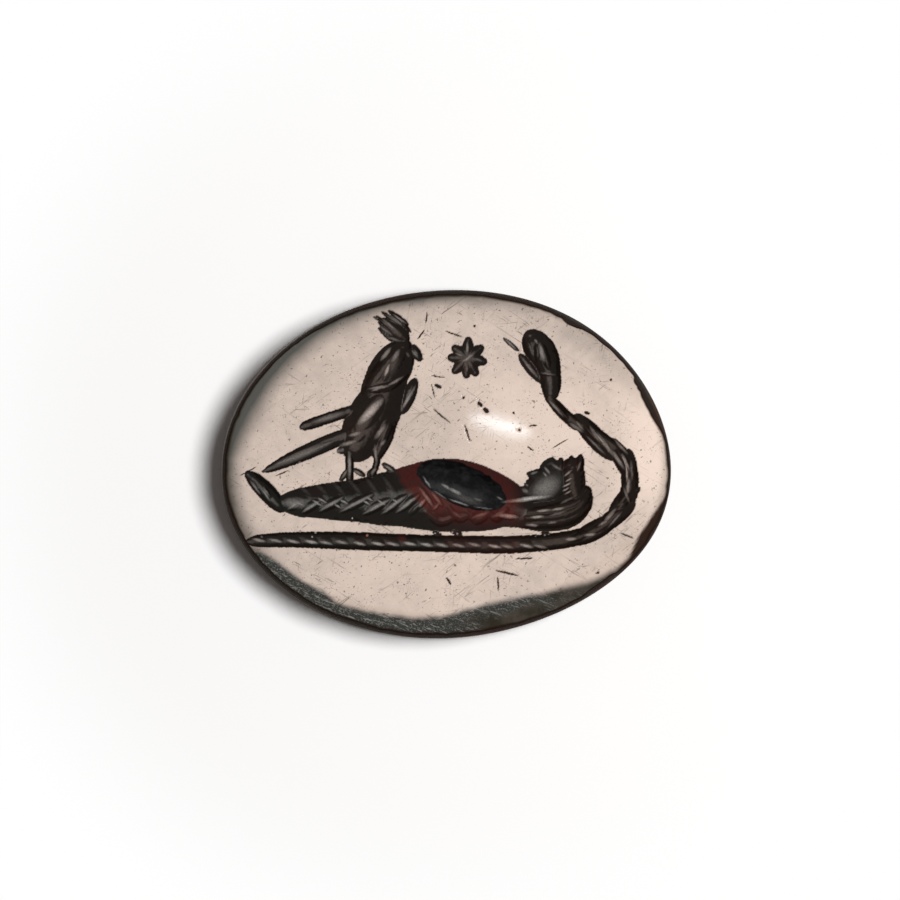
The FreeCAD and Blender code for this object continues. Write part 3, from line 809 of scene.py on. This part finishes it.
def finish_marks(sizes, mesh, relief, face_points, ring):
    """Numbers for each point that tell the finish where it is cut, red, worn or polished, and where painted
    highlights, sheen and shade go.
    """
    step = sizes.length / STEPS_ALONG
    x, y, z = pulled(mesh.vertices, "co", 3).T
    normals = pulled(mesh.vertex_normals, "vector", 3)
    on_face = np.arange(len(x)) < face_points
    sx, sy = x / step, y / step
    wave = 5 * lattice_noise(x, y, 1.3 * MM, 8) + 1.5 * lattice_noise(x, y, 0.25 * MM, 9)
    edge = 1 - np.hypot(x / (sizes.length / 2), y / (sizes.width / 2))
    marks = {name: relief[name] for name in ("glint", "warmth", "bowl", "shine")}
    marks["cut"] = rise(relief["drop"], 0, 0.012 * MM)
    # floors facing the light take the painted highlight; steeper walls take the painted shade
    marks["level"] = facing(normals @ np.array(GLINT_SIDE) / math.hypot(*GLINT_SIDE), 21, 2)
    embers = lens_drop(sx, sy, (EMBER,))
    marks["spark"] = rise(lens_drop(sx, sy, NICKS) + embers, 0, 0.8) * on_face
    marks["ember"] = rise(embers, 0, 0.2)

    # the red patch round the belly, and a red spot on the serpent
    patch = rise(sx + 1.6 * wave + 0.7 * (sy + 16), -50, -42) * rise(-sx + wave, -78, -62) * rise(-sy, -12, 0)
    spot = rise(lens_drop(sx, sy, (RED_SPOT,)), 0, 1)
    marks["red"] = np.maximum(patch * (0.25 + 0.75 * rise(sy + wave, -66, -44)), 0.8 * spot)

    # the worn shoulder, brown from the middle on and russet at its right end
    shore = np.interp(sx, *zip(*SHOULDER_SHORE)) - sy
    shore += wave * np.interp(sx, [-120, 60, 140], [0.6, 0.5, 0.25])
    soft = np.interp(sx, [-100, 60, 160, 185], [3, 4, 5, 2.5])
    marks["worn"] = rise(shore, -soft, soft) * on_face
    brown = rise(sx + 4 * wave, 5, 45) * rise(-sx + 4 * wave, -130, -80) * rise(shore + wave, 4, 18)
    marks["brown"] = np.maximum(brown, 0.8 * rise(sx, 85, 120)) + 1.2 * rise(sx + wave, 158, 180)

    # gloss of the polish, and a painted sheen where the polish is painted paler as if more lit: beside the
    # hood, below the serpent and at the right
    marks["rim"] = 1 - on_face.astype(float)
    marks["rim"][ring] = 1
    marks["gloss"] = facing(normals[:, 2], 7.5, 5.8) * rise(edge, 0.025, 0.06)
    beside = rise(-np.hypot(sx - 92, 1.3 * (sy - 34)), -110, -20)
    below = rise(-np.hypot(sx + 20, 1.4 * (sy + 112)), -110, -20)
    margin = rise(sx + wave, 140, 205) * rise(sy, -70, -10)
    marks["painted_sheen"] = np.maximum(np.maximum(0.6 * beside, 0.3 * below), margin)

    # painted shade where the polish is dark: at the left and along the edge; and a darker smudge at the upper
    # right
    left = rise(-x + y * 0.9, -MM, 9 * MM)
    reach = 0.095 + 0.045 * rise(y, -0.5 * MM, 2.5 * MM) * rise(-y, -7 * MM, -4.5 * MM)
    border = rise((0.002 * wave - edge) / reach, -1.3, -0.2)
    border += 0.25 * rise(-edge, -0.25, -0.03) * rise(y, -MM, 4 * MM)
    smudge = rise(sx + wave, 85, 135) * rise(sy + wave, 45, 85) * rise(-edge + 0.004 * wave, -0.17, -0.05)
    around = np.maximum(0.4 * rise(-edge, -0.06, -0.02), 0.3 * smudge)
    marks["edge_shade_and_smudge"] = on_face * np.maximum(border * left, around)

    # a painted highlight: a bright line on the girdle at the left
    turn = np.degrees(np.arctan2(y, -x))
    line = rise(z, 1.1 * MM, 1.2 * MM) * rise(-z, -1.65 * MM, -1.3 * MM)
    marks["gleam"] = line * rise(turn, -15, 10) * rise(-turn, -58, -35)
    return marks


class Shade:
    """One output of a material's nodes, with Python's operators for its maths."""

    def __init__(self, tree, socket):
        self.tree = tree
        self.socket = socket

    def node(self, kind, inputs, output=0, **settings):
        """Add a node of any kind: its settings first, then the values or links of its sockets."""
        made = self.tree.nodes.new(kind)
        for name, value in settings.items():
            setattr(made, name, value)
        for name, value in inputs.items():
            if isinstance(value, Shade):
                self.tree.links.new(value.socket, made.inputs[name])
            else:
                made.inputs[name].default_value = value
        return Shade(self.tree, made.outputs[output])

    def math(self, operation, other=0.0, swap=False):
        first, second = (other, self) if swap else (self, other)
        return self.node("ShaderNodeMath", {0: first, 1: second}, operation=operation)

    def __add__(self, other):
        return self.math("ADD", other)

    def __sub__(self, other):
        return self.math("SUBTRACT", other)

    def __rsub__(self, other):
        return self.math("SUBTRACT", other, swap=True)

    def __mul__(self, other):
        return self.math("MULTIPLY", other)

    def __or__(self, other):
        return self.math("MAXIMUM", other)

    __radd__ = __add__
    __rmul__ = __mul__
    __ror__ = __or__

    def step(self, low, high):
        """Rise smoothly from 0 at low to 1 at high."""
        inputs = {"Value": self, "From Min": low, "From Max": high}
        return self.node("ShaderNodeMapRange", inputs, interpolation_type="SMOOTHSTEP")

    def mix(self, low, high):
        """Run from one colour, where this mask is 0, to another, where it is 1."""
        inputs = {0: self, 6: colour(low), 7: colour(high)}
        return self.node("ShaderNodeMix", inputs, output=2, data_type="RGBA", clamp_factor=True)

    def noise(self, scale, detail=2.0, rough=0.5, bend=0.0):
        """Noise over these coordinates, with a scale in features to the millimetre."""
        inputs = {"Vector": self, "Scale": scale, "Detail": detail, "Roughness": rough, "Distortion": bend}
        return self.node("ShaderNodeTexNoise", inputs)

    def scratches(self, angle, across, along, seed, least):
        """Thin uneven marks that all run at one angle, from noise that is drawn out along it."""
        inputs = {"Vector": self, "Rotation": (0, 0, math.radians(-angle))}
        turned = self.node("ShaderNodeMapping", inputs)
        inputs = {"Vector": turned, "Location": (seed, seed, 0), "Scale": (along, across, 1)}
        return self.node("ShaderNodeMapping", inputs).noise(1.0, 2.0, 0.5, 1.5).step(least, least + 0.07)

    def feed(self, socket):
        """Link this output to a socket."""
        self.tree.links.new(self.socket, socket)


def colour(value):
    """A colour with its alpha. An output of a node stays as it is."""
    return value if isinstance(value, Shade) else (*value, 1)


def dimmed(value, share):
    """A colour made darker or paler by a share."""
    return [part * share for part in value]


def stone_material(colours):
    """Jasper: a pale polished face, painted as a reflection of the light above, with dark green, brown and
    red stone in the hollows and at the rim; highlights, sheen and shade are painted in too.
    """
    material = bpy.data.materials.new("polished_jasper")
    material.use_nodes = True
    tree = material.node_tree
    surface = tree.nodes["Principled BSDF"].inputs
    start = Shade(tree, None)
    metres = start.node("ShaderNodeTexCoord", {}, output="Object")
    place = start.node("ShaderNodeVectorMath", {0: metres, "Scale": 1 / MM}, operation="SCALE")

    def marked(name):
        return start.node("ShaderNodeAttribute", {}, output="Fac", attribute_name=name)

    cut, level, red, worn, rim = marked("cut"), marked("level"), marked("red"), marked("worn"), marked("rim")
    warmth, bowl, brown, painted_sheen = marked("warmth"), marked("bowl"), marked("brown"), marked("painted_sheen")
    cloud = place.noise(0.35, 4.0, 0.6)
    mottle = place.noise(2.2, 4.0, 0.6)
    grain = place.noise(14.0, 3.0, 0.7)

    # the polished face, painted pale as a reflection of the light above, with its smears, grit, scratches and
    # pits
    wear = 0.0
    for row in SCRATCHES:
        wear = wear | place.scratches(*row)
    wear = wear * (0.15 + 0.85 * place.noise(0.5, 2.0).step(0.42, 0.62)) * (1 - 0.7 * painted_sheen)
    clumps = place.noise(0.9, 3.0, 0.6).step(0.46, 0.66)
    pits = place.noise(7.0, 2.0, 0.6, 0.4).step(0.655, 0.7)
    pits = pits | place.noise(16.0, 1.0, 0.5, 0.5).step(0.64, 0.72) * clumps
    polish_reflection = colours.polish_reflection
    face = (cloud * 0.6 + mottle * 0.4).step(0.35, 0.65).mix(dimmed(polish_reflection, 0.86), dimmed(polish_reflection, 1.08))
    face = ((grain - 0.5) * 0.5 + 0.15).mix(face, GRIT)
    # painted sheen: the polish painted paler where it would catch more light
    face = painted_sheen.mix(face, dimmed(polish_reflection, 1.25))
    # painted shade at the left and along the edge, and the darker smudge at the upper right
    face = marked("edge_shade_and_smudge").mix(face, SHADED_EDGE_AND_SMUDGE)
    face = (wear * 0.65 | pits * 0.8).mix(face, SCRATCH)

    # bare stone in the hollows, with painted shade on their steep walls and in the belly bowl, and painted
    # highlights along their floors
    stone = warmth.mix(colours.green, colours.body)
    stone = (mottle.step(0.35, 0.7) * 0.5).mix(stone, dimmed(colours.body, 0.4))
    stone = (place.noise(0.55, 2.0).step(0.5, 0.66) * 0.35).mix(stone, CLOUD)
    stone = (red * (0.55 + 0.45 * mottle.step(0.3, 0.6))).mix(stone, colours.red)
    stone = bowl.mix(stone, mottle.step(0.4, 0.7).mix(*BOWL_SHADE))
    stone = ((1 - level) * (0.65 - 0.5 * red)).mix(stone, SLOPE_SHADE)
    painted_highlight = level * marked("glint") * (0.28 - 0.14 * red) | marked("shine")
    lit = (red * (1 - bowl)).mix(warmth.mix(*GLINTS), RED_GLINT)
    stone = (painted_highlight * (0.6 + 0.4 * grain.step(0.35, 0.65))).mix(stone, lit)

    # the scuffed shoulder
    streaks = place.scratches(-24, 13.0, 1.6, 3.3, 0.57) * 0.7
    scuffed = (grain.step(0.52, 0.7) * 0.7 | streaks).mix(*SCUFFS)
    bare = (brown - 1).mix(place.noise(1.1, 3.0).step(0.35, 0.65).mix(*BARE_SHOULDER), RUSSET)
    base = cut.mix(worn.mix(face, brown.mix(scuffed, bare)), stone)
    base = marked("spark").mix(base, marked("ember").mix(*SPARKS))

    # the side, painted lighter below as if lit, and more mottled there
    side = (mottle.step(0.4, 0.62) * 0.3).mix(colours.rim, colours.green)
    side = (cloud.step(0.56, 0.68) * 0.3).mix(side, dimmed(colours.red, 0.5))
    height = start.node("ShaderNodeSeparateXYZ", {0: place}, output="Z")
    lower_side_painted_light = (mottle.step(0.55, 0.7) * 0.7).mix(cloud.step(0.4, 0.6).mix(*PAINTED_LIGHT_SIDE), SIDE_RED)
    side = ((2.4 - height).step(0.0, 0.9) * 0.8).mix(side, lower_side_painted_light)
    side = (grain.step(0.55, 0.8) * 0.5).mix(side, SIDE_GRAIN)
    # painted highlight on the girdle at the left
    base = rim.mix(base, (marked("gleam") * 0.9).mix(side, GIRDLE_HIGHLIGHT))

    base.feed(surface["Base Color"])
    surface["IOR"].default_value = 1.1
    gloss = marked("gloss") * (1 - cut) | cut * (0.08 - 0.03 * bowl)
    (gloss * (1 - rim) * (1 - worn * 0.85) * (1 - wear)).feed(surface["Coat Weight"])
    surface["Coat Roughness"].default_value = 0.05
    (0.55 - cut * 0.25 + rim * 0.4).feed(surface["Roughness"])
    dents = (grain * 0.4 + mottle) * (cut * 0.5 + worn + rim * 0.6) - wear * 0.3
    bump = {"Height": dents, "Distance": 0.02 * MM, "Strength": 0.6}
    start.node("ShaderNodeBump", bump).feed(surface["Normal"])
    return material


def linked(name, data):
    """A new object in the scene."""
    item = bpy.data.objects.new(name, data)
    bpy.context.collection.objects.link(item)
    return item


class GEM_OT_engraved_stone(bpy.types.Operator):
    """Carve the stone with all its figures and give it its finish"""

    bl_idname = "gem.engraved_stone"
    bl_label = "Engraved stone"

    def execute(self, context):
        sizes = context.scene.gem_sizes
        mesh, *hollows = gem_mesh(sizes)
        for name, values in finish_marks(sizes, mesh, *hollows).items():
            mark = mesh.attributes.new(name, "FLOAT", "POINT")
            mark.data.foreach_set("value", np.asarray(values, np.float32))
        stone = linked("gem_stone", mesh)
        mesh.materials.append(stone_material(context.scene.gem_colours))
        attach(stone, "root")
        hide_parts(NODE)
        return {"FINISHED"}


def sees_backdrop(start):
    """1 for the rays that see the backdrop or mirror it, and 0 for those that carry its light."""
    total = 0.0
    for kind in ("Is Camera Ray", "Is Glossy Ray", "Is Transmission Ray"):
        total = total | start.node("ShaderNodeLightPath", {}, output=kind)
    return total


def flat_lamp(name, place, length, width, power):
    """An oval lamp that looks at the stone."""
    light = bpy.data.lights.new(name, "AREA")
    light.shape = "ELLIPSE"
    light.size = length
    light.size_y = width
    light.energy = power
    lamp = linked(name, light)
    lamp.location = place
    lamp.rotation_euler = (-Vector(place)).to_track_quat("-Z", "Y").to_euler()
    lamp.visible_camera = False
    return lamp


def studio_floor(context):
    """A pale floor that keeps the stone's shadow, and is white further off for the rays that see it."""
    half = 0.6
    mesh = bpy.data.meshes.new("floor")
    corners = [(-half, -half, 0), (half, -half, 0), (half, half, 0), (-half, half, 0)]
    mesh.from_pydata(corners, [], [(0, 1, 2, 3)])
    floor = linked("floor", mesh)
    material = bpy.data.materials.new("studio_floor")
    material.use_nodes = True
    tree = material.node_tree
    surface = tree.nodes["Principled BSDF"]
    surface.inputs["Base Color"].default_value = colour(context.scene.gem_colours.floor)
    surface.inputs["Roughness"].default_value = 0.8
    surface.inputs["Specular IOR Level"].default_value = 0.0
    start = Shade(tree, None)
    place = start.node("ShaderNodeTexCoord", {}, output="Object")
    away = start.node("ShaderNodeVectorMath", {0: place}, output="Value", operation="LENGTH")
    white = start.node("ShaderNodeEmission", {"Color": (1, 1, 1, 1), "Strength": 1.0})
    far = away.step(0.014, 0.024) * sees_backdrop(start)
    whole = start.node("ShaderNodeMixShader", {0: far, 1: Shade(tree, surface.outputs["BSDF"]), 2: white})
    whole.feed(tree.nodes["Material Output"].inputs["Surface"])
    material.cycles.emission_sampling = "NONE"
    mesh.materials.append(material)


class GEM_OT_studio(bpy.types.Operator):
    """Set the floor, the lamps and the camera"""

    bl_idname = "gem.studio"
    bl_label = "Studio"

    def execute(self, context):
        scene = context.scene
        studio = scene.gem_studio
        studio_floor(context)
        world = bpy.data.worlds.new("studio")
        scene.world = world
        world.use_nodes = True
        sky = world.node_tree.nodes["Background"].inputs
        seen = sees_backdrop(Shade(world.node_tree, None))
        (seen * (1 - studio.sky) + studio.sky).feed(sky["Strength"])
        seen.mix((1, 0.88, 0.82), (1, 1, 1)).feed(sky["Color"])
        panel = flat_lamp("side_panel", PANEL_PLACE, PANEL_SIZE, PANEL_SIZE, studio.key)
        panel.visible_glossy = False
        for name, place, length, width, share in SMALL_LAMPS:
            lamp = flat_lamp(name, place, length, width, studio.lamp * share)
            lamp.rotation_euler = (0.0, 0.0, math.radians(SMALL_LAMP_TURN))
            lamp.data.color = SMALL_LAMP_COLOUR
        camera_data = bpy.data.cameras.new("camera")
        camera_data.lens = studio.lens
        camera_data.sensor_width = 36
        camera_data.clip_start = 0.01
        camera = linked("camera", camera_data)
        distance = studio.frame_width * studio.lens / camera_data.sensor_width
        camera.location = (studio.look_x, studio.look_y, scene.gem_sizes.girdle_height + distance)
        scene.camera = camera
        scene.view_settings.view_transform = "Standard"
        return {"FINISHED"}


class GEM_PT_ringstone(bpy.types.Panel):
    """Sizes, colours and steps of the ringstone"""

    bl_label = "Ringstone"
    bl_idname = "GEM_PT_ringstone"
    bl_space_type = "VIEW_3D"
    bl_region_type = "UI"
    bl_category = "Ringstone"

    def draw(self, context):
        scene = context.scene
        for group in (scene.gem_sizes, scene.gem_colours, scene.gem_studio):
            for name in group.bl_rna.properties.keys():
                if name not in ("rna_type", "name"):
                    self.layout.prop(group, name)
        for operator in (GEM_OT_studio, GEM_OT_engraved_stone):
            self.layout.operator(operator.bl_idname)


SETTINGS = {"gem_sizes": StoneSizes, "gem_colours": StoneColours, "gem_studio": Studio}
CLASSES = (*SETTINGS.values(), GEM_OT_studio, GEM_OT_engraved_stone, GEM_PT_ringstone)


def register():
    """Add the classes and the scene's settings."""
    for item in CLASSES:
        bpy.utils.register_class(item)
    for name, group in SETTINGS.items():
        setattr(bpy.types.Scene, name, PointerProperty(type=group))


def unregister():
    """Take the settings and classes out again."""
    for name in SETTINGS:
        delattr(bpy.types.Scene, name)
    for item in reversed(CLASSES):
        bpy.utils.unregister_class(item)


def main():
    """Build the stone and its studio."""
    register()
    bpy.ops.gem.studio()
    bpy.ops.gem.engraved_stone()


if __name__ == "__main__":
    main()
